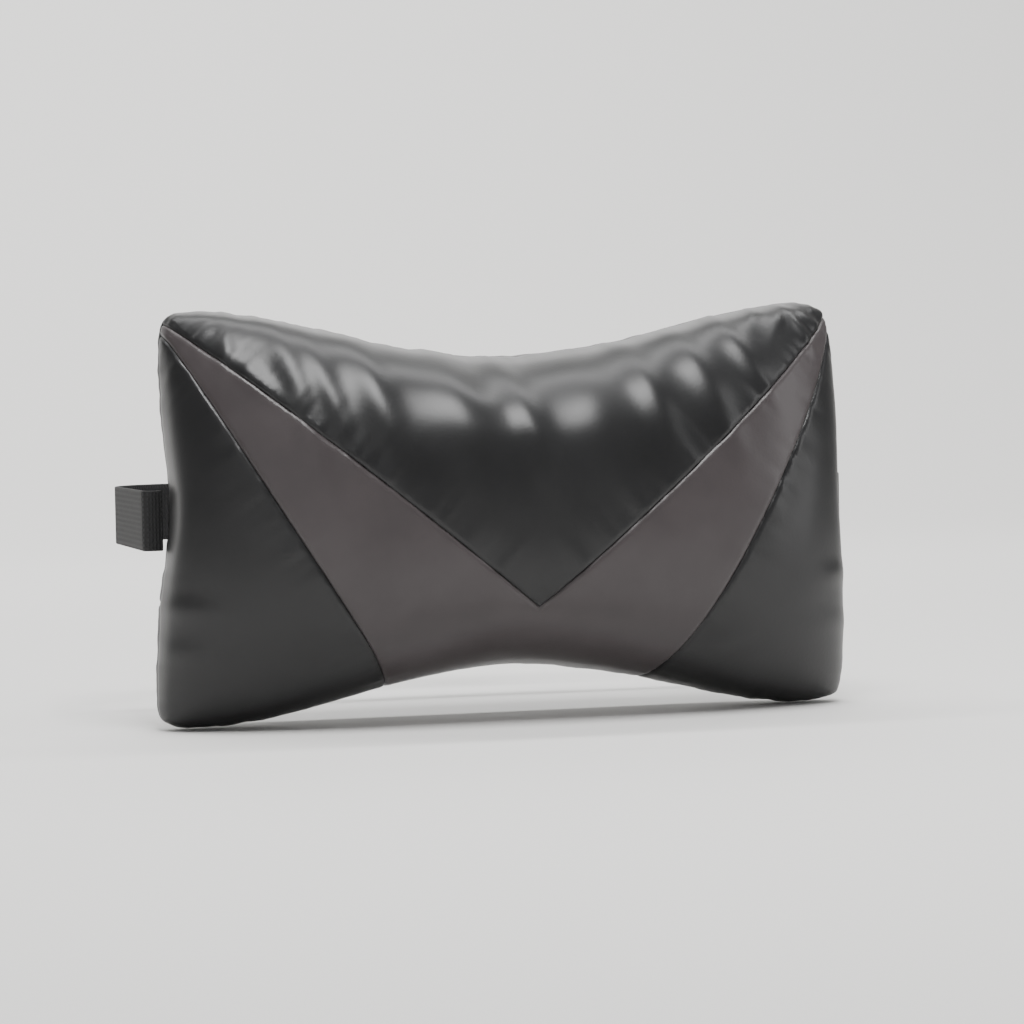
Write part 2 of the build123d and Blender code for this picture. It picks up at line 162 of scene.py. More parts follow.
def ribbedWebbing():
    # polypropylene webbing: picks across it every 1.4 mm and wales along it every 2.1 mm, dull between them
    material, tree, shader = newMaterial("ribbedWebbing")
    strip = addNode(tree, "ShaderNodeSeparateXYZ", Vector=addNode(tree, "ShaderNodeUVMap").outputs["UV"])
    waves = []
    for axis, pitch in (("X", 0.0014), ("Y", 0.0021)):
        scale = {"operation": "MULTIPLY", "i1": 2 * math.pi / pitch}
        turns = addNode(tree, "ShaderNodeMath", scale, i0=strip.outputs[axis]).outputs[0]
        waves.append(addNode(tree, "ShaderNodeMath", {"operation": "SINE"}, i0=turns).outputs[0])
    picks, wales = waves
    weave = addNode(tree, "ShaderNodeMath", {"operation": "MULTIPLY"}, i0=picks, i1=wales).outputs[0]
    lift = addNode(tree, "ShaderNodeMath", {"operation": "ADD"}, i0=weave, i1=picks).outputs[0]
    tone = rampBetween(tree, lift, linearHex("#0f0f10"), linearHex("#1c1c1e"))
    tree.links.new(tone, shader.inputs["Base Color"])
    shader.inputs["Roughness"].default_value = 0.72
    bump = addNode(tree, "ShaderNodeBump", {"Strength": 0.5, "Distance": 0.00018}, Height=lift)
    tree.links.new(bump.outputs["Normal"], shader.inputs["Normal"])
    return material


def mouldedAcetal():
    # acetal from a spark-eroded mould: dull and even, its grain drawn 0.6 mm wide, coarser than real
    material, tree, shader = newMaterial("mouldedAcetal")
    place = addNode(tree, "ShaderNodeTexCoord").outputs["Object"]
    spark = addNode(tree, "ShaderNodeTexNoise", {"Scale": 1 / 0.0006, "Detail": 2.0}, Vector=place)
    tone = rampBetween(tree, spark.outputs["Fac"], linearHex("#101011"), linearHex("#171718"), 0.3, 0.7)
    tree.links.new(tone, shader.inputs["Base Color"])
    shader.inputs["Roughness"].default_value = 0.48
    etch = {"Strength": 0.25, "Distance": 0.00005}
    bump = addNode(tree, "ShaderNodeBump", etch, Height=spark.outputs["Fac"])
    tree.links.new(bump.outputs["Normal"], shader.inputs["Normal"])
    return material


def lacqueredZinc():
    # zinc die casting under black stoving lacquer, a little worn: glossy, duller in 3 mm patches
    material, tree, shader = newMaterial("lacqueredZinc")
    place = addNode(tree, "ShaderNodeTexCoord").outputs["Object"]
    wear = addNode(tree, "ShaderNodeTexNoise", {"Scale": 1 / 0.003, "Detail": 5.0}, Vector=place)
    tone = rampBetween(tree, wear.outputs["Fac"], linearHex("#1a1a1b"), linearHex("#3a3a3c"), 0.45, 0.8)
    tree.links.new(tone, shader.inputs["Base Color"])
    rough = addNode(tree, "ShaderNodeMapRange", {"To Min": 0.2, "To Max": 0.4}, Value=wear.outputs["Fac"])
    tree.links.new(rough.outputs["Result"], shader.inputs["Roughness"])
    shader.inputs["Metallic"].default_value = 0.6
    return material


waveTurn = 0.314  # how far a wave texture of scale 1 goes for one band


def wovenCloth(name, dark, light, thread, roughness, depth):
    # threads crossing at right angles, each one thread wide, raised where both are on top
    material, tree, shader = newMaterial(name)
    place = addNode(tree, "ShaderNodeTexCoord").outputs["Object"]
    threads = []
    for direction in ("X", "Z"):
        bands = {"bands_direction": direction, "Scale": waveTurn / thread, "Distortion": 0.6}
        threads.append(addNode(tree, "ShaderNodeTexWave", bands, Vector=place).outputs["Fac"])
    warp, weft = threads
    both = addNode(tree, "ShaderNodeMath", {"operation": "MULTIPLY"}, i0=warp, i1=weft).outputs[0]
    tone = rampBetween(tree, both, linearHex(dark), linearHex(light))
    tree.links.new(tone, shader.inputs["Base Color"])
    shader.inputs["Roughness"].default_value = roughness
    bump = addNode(tree, "ShaderNodeBump", {"Strength": 0.4, "Distance": depth}, Height=both)
    tree.links.new(bump.outputs["Normal"], shader.inputs["Normal"])
    return material


blackLeathercloth = coatedFabric("blackLeathercloth", "#171718", "#1c1c1d")
greyLeathercloth = coatedFabric("greyLeathercloth", "#393435", "#3f3a3b")
webbing = ribbedWebbing()
acetal = mouldedAcetal()
zinc = lacqueredZinc()
nylonTeeth = wovenCloth("nylonTeeth", "#18181a", "#232325", 0.0008, 0.35, 0.00003)  # shiny
tapeWeave = wovenCloth("tapeWeave", "#151516", "#262628", 0.0007, 0.8, 0.00008)  # dull
sewingThread = wovenCloth("sewingThread", "#1a1a1b", "#38383a", 0.0004, 0.6, 0.00005)
satinRibbon = wovenCloth("satinRibbon", "#d2d1cc", "#e6e5e0", 0.0006, 0.45, 0.00003)  # smooth
nonWoven = wovenCloth("nonWoven", "#d5d5d0", "#e9e9e5", 0.0015, 0.9, 0.0001)  # bonded dots
fibreWad = wovenCloth("fibreWad", "#dedfdb", "#f2f2ef", 0.0040, 1.0, 0.0006)  # 4 mm tufts
print("materials made")


# cushion: form, whose s and t run from -1 to 1 across and up it

cushion = {
    "halfWidth": 0.1495, "endHeight": 0.0895, "waistHeight": 0.0705,
    "frontDepth": 0.0620, "backDepth": 0.0300, "seamPlane": -0.0220,
    "cornerInX": 0.028, "cornerInZ": 0.060, "cornerPower": 12,
    "pinch": 0.0012, "pinchHeight": 0.004, "pinchReach": 0.026, "pinchPower": 5, "flare": 0.0026,
    "acrossPower": 2.6, "acrossRoot": 2.3, "upPower": 2.5, "upRoot": 2.2, "flatSoftness": 0.003,
    "cellsAcross": 64, "cellsUp": 36, "weld": 0.00002, "startShare": 0.95,
    "frames": 20, "flatFrom": -0.0035, "cap": 0.007, "calm": 8,
}
stretch = {
    "quality": 6, "mass": 0.25, "tension_stiffness": 12, "compression_stiffness": 12,
    "shear_stiffness": 5, "bending_stiffness": 0.4, "use_pressure": True, "uniform_pressure_force": 4.0,
}


def pillowForm(s, t, front, c):
    absS, absT = abs(s), abs(t)
    corner = (absS * absT) ** c["cornerPower"]
    dip = (1 - math.cos(math.pi * absS)) / 2
    z = t * (c["waistHeight"] + (c["endHeight"] - c["waistHeight"]) * dip) * (1 - c["cornerInZ"] * corner)
    pinch = c["pinch"] * math.exp(-((z - c["pinchHeight"]) / c["pinchReach"]) ** 2)
    flare = c["flare"] * z / c["endHeight"]
    x = s * (c["halfWidth"] * (1 - c["cornerInX"] * corner) - (pinch + flare) * absS ** c["pinchPower"])
    across = max(0.0, 1 - absS ** c["acrossPower"]) ** (1 / c["acrossRoot"])
    share = across * max(0.0, 1 - absT ** c["upPower"]) ** (1 / c["upRoot"])
    if front:
        return x, c["seamPlane"] - c["frontDepth"] * share * c["startShare"], z
    reach, limit, soft = c["backDepth"] * share, -c["seamPlane"], c["flatSoftness"]
    blend = clampShare(0.5 + (limit - reach) / (2 * soft))
    flat = limit + (reach - limit) * blend - soft * blend * (1 - blend)  # the back flattens on the backrest
    return x, c["seamPlane"] + flat, z


def eased(t):
    # closer rows near the rim, where the form turns fastest
    return math.copysign(0.5 * abs(t) + 0.5 * math.sin(math.pi * abs(t) / 2), t)


def makePillow(c):
    sides = []
    for front in (True, False):
        bpy.ops.object.select_all(action="DESELECT")
        bpy.ops.mesh.primitive_grid_add(x_subdivisions=c["cellsAcross"], y_subdivisions=c["cellsUp"], size=2)
        side = bpy.context.active_object
        for vertex in side.data.vertices:
            vertex.co = pillowForm(eased(vertex.co.x), eased(vertex.co.y), front, c)
        if not front:
            side.data.flip_normals()
        for polygon in side.data.polygons:
            polygon.material_index = 0 if front else 1  # tells front from back until the panels are made
        side.data.materials.append(blackLeathercloth)
        side.data.materials.append(greyLeathercloth)
        sides.append(side)
    bpy.ops.object.select_all(action="DESELECT")
    for side in sides:
        side.select_set(True)
    bpy.context.view_layer.objects.active = sides[0]
    bpy.ops.object.join()
    bpy.ops.object.mode_set(mode="EDIT")
    bpy.ops.mesh.select_all(action="SELECT")
    bpy.ops.mesh.remove_doubles(threshold=c["weld"])
    bpy.ops.object.mode_set(mode="OBJECT")
    sides[0].name = "pillow"
    return sides[0]


def inflate(piece, c):
    # the stuffing's pressure stretches the cover a little
    rest = np.array([v.co for v in piece.data.vertices])
    flat = piece.vertex_groups.new(name="flatBack")
    flat.add([i for i, p in enumerate(rest) if p[1] > c["flatFrom"]], 1.0, "REPLACE")
    activate(piece)
    cloth = piece.modifiers.new("cloth", "CLOTH")
    for name, value in stretch.items():
        setattr(cloth.settings, name, value)
    cloth.settings.vertex_group_mass = "flatBack"
    cloth.settings.effector_weights.gravity = 0
    cloth.collision_settings.use_collision = False
    cloth.point_cache.frame_start, cloth.point_cache.frame_end = 1, c["frames"]
    for step in range(1, c["frames"] + 1):
        scene.frame_set(step)
    evaluated = piece.evaluated_get(bpy.context.evaluated_depsgraph_get())
    moved = np.array([v.co for v in evaluated.data.vertices])
    piece.modifiers.remove(cloth)
    scene.frame_set(1)
    shift = calmed(moved - rest, piece.data, c["calm"])
    length = np.linalg.norm(shift, axis=1)
    print("cloth moved up to", round(float(length.max()) * 1000, 1), "mm")
    limited = rest + shift * np.minimum(1, c["cap"] / np.maximum(length, 1e-9))[:, None]
    limited[:, 1] = np.minimum(limited[:, 1], 0.0)
    piece.data.vertices.foreach_set("co", limited.astype(np.float32).ravel())
    piece.data.update()


def calmed(shift, data, rounds):
    # each round moves every point half way to the mean of its neighbours' shifts
    ends = np.array([e.vertices for e in data.edges])
    counts = np.bincount(ends.ravel(), minlength=len(shift))[:, None]
    for step in range(rounds):
        total = np.zeros_like(shift)
        np.add.at(total, ends[:, 0], shift[ends[:, 1]])
        np.add.at(total, ends[:, 1], shift[ends[:, 0]])
        shift = 0.5 * shift + 0.5 * total / counts
    return shift


pillow = makePillow(cushion)
inflate(pillow, cushion)
applyModifier(pillow, "SUBSURF", levels=2, render_levels=2)
print("cushion form", len(pillow.data.vertices), "points")


# cushion: folds, each a soft ridge or dip, in mm and degrees
# middle x and z, lean, half length, half width, height

folds = [
    (-122, 70, -14, 10, 3.4, 1.0), (-112, 58, 44, 18, 4.6, 1.5), (-95, 52, 12, 28, 6.0, 1.9),
    (-82, 48, 16, 26, 5.2, 1.5), (-63, 48, 12, 28, 7.0, 1.8), (-29, 44, 6, 30, 10.5, 1.9),
    (-3, 44, 14, 32, 6.4, 1.6), (26, 44, 8, 32, 10.5, 1.2), (52, 50, 16, 28, 6.6, 1.6),
    (76, 56, 22, 28, 6.6, 1.7), (97, 64, 28, 20, 5.2, 1.5), (117, 79, -34, 9, 2.8, 1.3),
    (127, 74, 26, 10, 2.6, 1.3), (107, 82, -28, 9, 3.0, 1.2),  # hanging from the upper edge
    (-106, 18, 24, 30, 9.0, -0.6), (118, 6, -14, 26, 8.0, -0.7),  # dips at the ends
    (-139, -36, 84, 12, 5.0, 0.9), (-138, -54, 96, 12, 5.0, 0.8),  # short ones across the end seams
    (137, -30, 96, 12, 5.0, 0.9), (136, -50, 84, 12, 5.0, 0.8),
    (-60, -52, 70, 20, 6.0, 0.7), (84, -54, 110, 16, 6.0, 0.7),  # in the chevron
]
foldSides = {"dip": 0.35, "spread": 2.2, "fadeDepth": 0.012}


def foldHeight(x, z):
    height = np.zeros_like(x)
    for midX, midZ, lean, long, wide, high in folds:
        angle = math.radians(lean)
        dx, dz = x - midX * 0.001, z - midZ * 0.001
        along = -dz * math.cos(angle) + dx * math.sin(angle)
        across = dx * math.cos(angle) + dz * math.sin(angle)
        ridge = np.exp(-(across / (wide * 0.001)) ** 2)
        ridge -= foldSides["dip"] * np.exp(-(across / (wide * 0.001 * foldSides["spread"])) ** 2)
        height += high * 0.001 * ridge * np.exp(-(along / (long * 0.001)) ** 2)
    return height


def pushFolds(piece):
    points = np.array([v.co for v in piece.data.vertices])
    normals = np.array([v.normal for v in piece.data.vertices])
    front = smoothStep((cushion["seamPlane"] - points[:, 1]) / foldSides["fadeDepth"])
    points += normals * (foldHeight(points[:, 0], points[:, 2]) * front)[:, None]
    piece.data.vertices.foreach_set("co", points.astype(np.float32).ravel())
    piece.data.update()


pushFolds(pillow)

# cushion: seams, each given by a signed distance that is zero along it

seams = {
    "notch": -0.038, "corner": (0.150, 0.086), "foot": (0.046, -0.086), "bow": 0.003,
    "zipHeight": -0.034, "zipHalfLength": 0.094, "zipHalfHeight": 0.0052, "zipCorner": 0.0015,
    "levels": (0.0, 0.0009, -0.0009, 0.0022, -0.0022), "zipLevels": (0.0, 0.0009), "snap": 0.12,
    "roll": 0.0024, "sink": 0.0010, "rimSink": 0.8, "wall": 0.0012,
    "pucker": 0.0011, "puckerReach": 0.008, "puckerPitch": 0.0075, "puckerCalm": 0.0012,
    "puckerFrom": -0.004, "puckerShares": {"cover_front_chevron": 0.3, "cover_front_upper": 1.0},
    "otherPuckerShare": 0.6,
}


def upperEdge(p):
    slope = (seams["corner"][1] - seams["notch"]) / seams["corner"][0]
    return (p.z - seams["notch"] - slope * abs(p.x)) / math.hypot(1, slope)


def outerEdge(p):
    (cornerX, cornerZ), (footX, footZ) = seams["corner"], seams["foot"]
    length = math.hypot(cornerX - footX, cornerZ - footZ)
    alongX, alongZ = (footX - cornerX) / length, (footZ - cornerZ) / length
    dx, dz = abs(p.x) - cornerX, p.z - cornerZ
    share = clampShare((dx * alongX + dz * alongZ) / length)
    return (dx * -alongZ + dz * alongX) - seams["bow"] * 4 * share * (1 - share)


def zipEdge(p):
    dx = abs(p.x) - seams["zipHalfLength"] + seams["zipCorner"]
    dz = abs(p.z - seams["zipHeight"]) - seams["zipHalfHeight"] + seams["zipCorner"]
    return math.hypot(max(dx, 0), max(dz, 0)) + min(max(dx, dz), 0) - seams["zipCorner"]


def zipLine(p):
    return p.z - seams["zipHeight"]


def onSide(part, side):
    return any(face.material_index == side for face in part.link_faces)


def cutAlong(mesh, side, value, level):
    # points near the line move onto it, and every other edge that crosses it is split
    onLine = {}
    values = {v: value(v.co) - level for v in mesh.verts if onSide(v, side)}
    for edge in mesh.edges:
        a, b = edge.verts
        if a not in values or b not in values or values[a] * values[b] >= 0:
            continue
        t = values[a] / (values[a] - values[b])
        if min(t, 1 - t) < seams["snap"]:
            close, other = (a, b) if t < 0.5 else (b, a)
            if not any(face.material_index != side for face in close.link_faces):
                close.co = close.co.lerp(other.co, min(t, 1 - t))
            onLine[close] = True
            values[close] = 0.0
    crossing = []
    for edge in mesh.edges:
        a, b = edge.verts
        if a in values and b in values and values[a] * values[b] < 0 and onSide(edge, side):
            crossing.append(edge)
    for edge in crossing:
        a, b = edge.verts
        made = bmesh.utils.edge_split(edge, a, values[a] / (values[a] - values[b]))[1]
        onLine[made] = True
    bmesh.ops.connect_verts(mesh, verts=list(onLine))


def panelOf(face):
    p = face.calc_center_median()
    if face.material_index == 1:
        if zipEdge(p) < 0:
            return None
        return "cover_back_upper" if zipLine(p) > 0 else "cover_back_lower"
    if upperEdge(p) > 0:
        return "cover_front_upper"
    if outerEdge(p) < 0:
        return "cover_front_chevron"
    return "cover_front_right" if p.x > 0 else "cover_front_left"


mesh = bmesh.new()
mesh.from_mesh(pillow.data)
for level in seams["levels"]:
    cutAlong(mesh, 0, upperEdge, level)
    cutAlong(mesh, 0, outerEdge, level)
for level in seams["zipLevels"]:
    cutAlong(mesh, 1, zipEdge, level)
cutAlong(mesh, 1, zipLine, 0.0)
mesh.normal_update()
mesh.verts.ensure_lookup_table()
mesh.faces.ensure_lookup_table()
print("seams cut", len(mesh.verts), "points")

panelNames = [panelOf(face) for face in mesh.faces]
seamPoints, rimPoints = [], []
for edge in mesh.edges:
    names = {panelNames[f.index] for f in edge.link_faces}
    if None in names or len(names) < 2:
        continue
    target = rimPoints if len({f.material_index for f in edge.link_faces}) == 2 else seamPoints
    target.append((edge.verts[0].co + edge.verts[1].co) / 2)
    target += [v.co.copy() for v in edge.verts]


def treeOf(points):
    tree = kdtree.KDTree(len(points))
    for i, p in enumerate(points):
        tree.insert(p, i)
    tree.balance()
    return tree


def puckerShare(names):
    for name, share in seams["puckerShares"].items():
        if name in names:
            return share
    return seams["otherPuckerShare"]


def puckerAt(spot, distance):
    pitch, reach = seams["puckerPitch"], seams["puckerReach"]
    wave = noise.noise(spot / pitch) + 0.5 * noise.noise(spot / (pitch * 0.5))
    fade = math.exp(-distance / reach) * (1 - math.exp(-(distance / seams["puckerCalm"]) ** 2) * 0.6)
    return seams["pucker"] * wave * fade


seamTree, rimTree = treeOf(seamPoints), treeOf(rimPoints)
moves = []
for vertex in mesh.verts:
    names = {panelNames[f.index] for f in vertex.link_faces}
    drop = ripple = 0.0
    for tree, sink in ((seamTree, seams["sink"]), (rimTree, seams["sink"] * seams["rimSink"])):
        spot, _, distance = tree.find(vertex.co)
        if distance < seams["roll"]:
            q = 1 - distance / seams["roll"]
            drop = max(drop, sink * (1 - math.sqrt(max(0.0, 1 - q * q))))
        if distance < 4 * seams["puckerReach"]:
            ripple += puckerAt(spot, distance) * puckerShare(names)
    if vertex.co.y > seams["puckerFrom"]:
        ripple = 0.0  # the flat back stays smooth
    moves.append(vertex.normal * (ripple - drop))
for vertex, move in zip(mesh.verts, moves):
    vertex.co += move
    vertex.co.y = min(vertex.co.y, 0.0)

panelFinish = {
    "cover_front_upper": (blackLeathercloth, "cover_black"),
    "cover_front_left": (blackLeathercloth, "cover_black"),
    "cover_front_right": (blackLeathercloth, "cover_black"),
    "cover_front_chevron": (greyLeathercloth, "cover_grey"),
    "cover_back_upper": (blackLeathercloth, "cover_black"),
    "cover_back_lower": (blackLeathercloth, "cover_black"),
}


def makePanel(name, finish):
    used, corners, faces = {}, [], []
    for face in mesh.faces:
        if panelNames[face.index] != name:
            continue
        loop = []
        for vertex in face.verts:
            if vertex.index not in used:
                used[vertex.index] = len(corners)
                corners.append(vertex.co.copy())
            loop.append(used[vertex.index])
        faces.append(loop)
    data = bpy.data.meshes.new(name + "Skin")
    data.from_pydata(corners, [], faces)
    piece = bpy.data.objects.new(name + "Skin", data)
    scene.collection.objects.link(piece)
    for polygon in data.polygons:
        polygon.use_smooth = True
    applyModifier(piece, "SOLIDIFY", thickness=seams["wall"], offset=-1.0, use_even_offset=False)
    bpy.ops.object.shade_smooth_by_angle(angle=math.radians(55))
    dress(piece, finish)
    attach(piece, "cushion")
    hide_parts(name)


mesh.verts.index_update()
mesh.faces.index_update()
for name, (finish, slotName) in panelFinish.items():
    makePanel(name, finish)
print("panels made")


# liner and filling, inside the cover, with a flat channel behind the zip for its slider

inside = {
    "linerIn": 0.0034, "linerWall": 0.0005, "fillIn": 0.0046,
    "channelHalfLength": 0.104, "channelHalfHeight": 0.015, "channelDepth": 0.0066, "fillBelow": 0.0012,
}


def makeInside(name, inset, keepSide, finish, replaced, depth):
    activate(pillow)
    bpy.ops.object.duplicate()
    piece = bpy.context.active_object
    piece.name = name
    applyModifier(piece, "DECIMATE", decimate_type="UNSUBDIV", iterations=2)
    normals = [v.normal.copy() for v in piece.data.vertices]
    for vertex, normal in zip(piece.data.vertices, normals):
        vertex.co -= normal * inset
        pastEnd = abs(vertex.co.x) - inside["channelHalfLength"]
        pastEdge = abs(vertex.co.z - seams["zipHeight"]) - inside["channelHalfHeight"]
        if max(pastEnd, pastEdge) < 0 and vertex.co.y > -depth:
            vertex.co.y = -depth
    if keepSide is not None:
        edit = bmesh.new()
        edit.from_mesh(piece.data)
        dropped = [f for f in edit.faces if f.material_index != keepSide]
        bmesh.ops.delete(edit, geom=dropped, context="FACES")
        edit.to_mesh(piece.data)
        edit.free()
        applyModifier(piece, "SOLIDIFY", thickness=inside["linerWall"], offset=-1.0)
    activate(piece)
    bpy.ops.object.shade_smooth()
    dress(piece, finish)
    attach(piece, "cushion")
    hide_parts(*replaced)


channel = inside["channelDepth"]
makeInside("linerFrontCloth", inside["linerIn"], 0, nonWoven, ["liner_front"], channel)
makeInside("linerBackCloth", inside["linerIn"], 1, nonWoven, ["liner_back"], channel)
fillChannel = channel + inside["fillBelow"]
makeInside("fibreFilling", inside["fillIn"], None, fibreWad, ["fill_core"], fillChannel)
bpy.data.objects.remove(pillow)
mesh.free()
print("inside made")


# webbing: corners of its middle line in plan, from the side seam round to the buckle

strap = {
    "width": 0.025, "wall": 0.0016, "entry": 0.1445, "side": 0.152, "seamPlane": -0.022, "run": 0.0918,
    "layer": 0.0019, "sewnLayer": 0.00195, "innerSlot": -0.01615, "outerSlot": -0.02425, "tail": -0.084,
    "socketSlot": 0.02565, "loopTop": 0.0336, "loopFoot": 0.0396, "loopEnd": 0.0636,
    "corner": 0.034, "seamTurn": 0.002, "slotTurn": 0.0016, "loopTurn": 0.0024,
    "flexFrom": -0.112, "flexTo": -0.040, "step": 0.0012, "stride": 0.004, "rows": 8, "edgeShare": 0.3,
}
label = {"width": 0.018, "wall": 0.0005, "start": -0.0013, "hang": 0.00055, "turn": 0.0005}


def bentRoute(points, radii):
    # straight runs between corners, each corner rounded by its radius
    route = [Vector(points[0])]
    for i in range(1, len(points) - 1):
        before, here, after = Vector(points[i - 1]), Vector(points[i]), Vector(points[i + 1])
        a, b = (before - here).normalized(), (after - here).normalized()
        half = a.angle(b) / 2
        radius = radii[i - 1]
        setBack = radius / math.tan(half)
        centre = here + (a + b).normalized() * (radius / math.sin(half))
        start, end = here + a * setBack, here + b * setBack
        turn = (start - centre).angle(end - centre)
        steps = max(4, int(turn * radius / strap["step"]))
        for k in range(steps + 1):
            share = k / steps
            route.append(centre + (start - centre).slerp(end - centre, share).normalized() * radius)
    route.append(Vector(points[-1]))
    dense = [route[0]]
    for point in route[1:]:
        gap = (point - dense[-1]).length
        if gap < 1e-6:
            continue
        parts = max(1, int(gap / strap["stride"]))
        for k in range(parts):
            dense.append(dense[-1].lerp(point, 1 / (parts - k)))
    return dense


def makeWebbing(name, points, radii, width, wall, finish, replaced, flat="XY", centre=0.0):
    route = bentRoute([(a, b, 0) for a, b in points], radii)
    columns = len(route)
    bpy.ops.object.select_all(action="DESELECT")
    bpy.ops.mesh.primitive_grid_add(
        x_subdivisions=columns - 1, y_subdivisions=strap["rows"], size=1, calc_uvs=True)
    piece = bpy.context.active_object
    piece.name = name
    lengths = [0.0]
    for a, b in zip(route, route[1:]):
        lengths.append(lengths[-1] + (b - a).length)
    uv = piece.data.uv_layers[0]
    uv.name = "UVMap"
    place = {}
    for vertex in piece.data.vertices:
        column = round((vertex.co.x + 0.5) * (columns - 1))
        across = vertex.co.y * width
        a, b = route[column].x, route[column].y
        place[vertex.index] = (lengths[column], across)
        vertex.co = (a, b, centre + across) if flat == "XY" else (centre + across, a, b)
    for loop in piece.data.loops:
        uv.data[loop.index].uv = place[loop.vertex_index]
    applyModifier(piece, "SOLIDIFY", thickness=wall, offset=0.0, use_even_offset=True)
    applyModifier(piece, "BEVEL", width=wall * strap["edgeShare"], segments=2,
                  limit_method="ANGLE", angle_limit=math.radians(60))
    activate(piece)
    bpy.ops.object.shade_smooth_by_angle(angle=math.radians(50))
    dress(piece, finish)
    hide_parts(replaced)
    return piece


def makeStrap(name, points, turns, replaced):
    return makeWebbing(name, points, turns, strap["width"], strap["wall"], webbing, replaced)


seamPlane, side, run, rear = strap["seamPlane"], strap["side"], strap["run"], strap["run"] + strap["layer"]
inner, outer, sewn = strap["innerSlot"], strap["outerSlot"], strap["run"] + strap["sewnLayer"]
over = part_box("strap_left")[1].y - strap["wall"] / 2  # where the webbing rides over the buckle's bars
leftPoints = [
    (-strap["entry"], seamPlane), (-side, seamPlane), (-side, run), (inner, run),
    (inner, over), (outer, over), (outer, rear), (strap["tail"], rear),
]
rightPoints = [
    (strap["entry"], seamPlane), (side, seamPlane), (side, run), (strap["socketSlot"], run),
    (strap["socketSlot"], over), (strap["loopTop"], over),
    (strap["loopFoot"], sewn), (strap["loopEnd"], sewn),
]
firstTurns = [strap["seamTurn"], strap["corner"]]
leftTurns = firstTurns + 4 * [strap["slotTurn"]]
rightTurns = firstTurns + 2 * [strap["slotTurn"]] + 2 * [strap["loopTurn"]]
leftStrap = makeStrap("strapLeftWebbing", leftPoints, leftTurns, "strap_left")
rightStrap = makeStrap("strapRightWebbing", rightPoints, rightTurns, "strap_right")
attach(rightStrap, "cushion")
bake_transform(leftStrap)
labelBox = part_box("care_label")
labelPoints = [
    (label["start"], seams["zipHeight"]), (label["hang"], seams["zipHeight"]), (label["hang"], labelBox[0].z),
]
labelMiddle = (labelBox[0].x + labelBox[1].x) / 2
ribbon = makeWebbing("careLabelRibbon", labelPoints, [label["turn"]], label["width"], label["wall"],
                     satinRibbon, "care_label", flat="YZ", centre=labelMiddle)
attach(ribbon, "cushion")
print("webbing made")


# the zip, buckle, keeper and box stitch keep their solids' shape

nodeFinish = {
    "zip_tape_upper": tapeWeave, "zip_tape_lower": tapeWeave,
    "zip_teeth_upper": nylonTeeth, "zip_teeth_lower": nylonTeeth,
    "zip_top_stops": zinc, "zip_bottom_stop": zinc, "zip_slider": zinc, "zip_pull": zinc,
    "strap_box_stitch": sewingThread, "strap_keeper": acetal, "buckle_socket": acetal, "buckle_plug": acetal,
    "buckle_prong_upper": acetal, "buckle_prong_lower": acetal,
}
for name, finish in nodeFinish.items():
    dress(nodes[name], finish)


# topstitching round the zip

stitches = {
    "length": 0.0026, "thick": 0.0006, "taper": 0.35, "pitch": 0.0036, "setBack": 0.0030, "lift": 0.00005,
    "atEnds": 4, "endInset": 0.7,
}


def makeStitches(name, places):
    bpy.ops.object.select_all(action="DESELECT")
    bpy.ops.mesh.primitive_cylinder_add(
        vertices=6, radius=stitches["thick"] / 2, depth=stitches["length"], rotation=(0, math.pi / 2, 0))
    bpy.ops.object.transform_apply(location=False, rotation=True, scale=False)
    single = bpy.context.active_object
    corners = [v.co.copy() for v in single.data.vertices]
    loops = [list(p.vertices) for p in single.data.polygons]
    bpy.data.objects.remove(single)
    allCorners, allLoops = [], []
    for x, y, z, turn in places:
        matrix = Matrix.Translation((x, y, z)) @ Matrix.Rotation(turn, 4, "Y")
        base = len(allCorners)
        for p in corners:
            taper = 1 - stitches["taper"] * (abs(p.x) / (stitches["length"] / 2)) ** 3
            allCorners.append(matrix @ Vector((p.x, p.y * taper, p.z * taper)))
        allLoops += [[base + i for i in loop] for loop in loops]
    data = bpy.data.meshes.new(name)
    data.from_pydata(allCorners, [], allLoops)
    piece = bpy.data.objects.new(name, data)
    scene.collection.objects.link(piece)
    dress(piece, sewingThread)
    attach(piece, "cushion")


places = []
lift, zipHeight = stitches["lift"], seams["zipHeight"]  # lift is over the flat back
halfZip, offset = seams["zipHalfLength"] + stitches["setBack"], seams["zipHalfHeight"] + stitches["setBack"]
count = int(2 * halfZip / stitches["pitch"])
for k in range(count):
    x = -halfZip + (k + 0.5) * 2 * halfZip / count
    places += [(x, lift, zipHeight + offset, 0), (x, lift, zipHeight - offset, 0)]
endGaps = stitches["atEnds"] - 1 + 2 * stitches["endInset"]
for k in range(stitches["atEnds"]):
    z = zipHeight - offset + (k + stitches["endInset"]) * 2 * offset / endGaps
    places += [(-halfZip, lift, z, math.pi / 2), (halfZip, lift, z, math.pi / 2)]
makeStitches("zipTopstitch", places)
print("stitches made")


# floor that bends up into a wall, light and camera

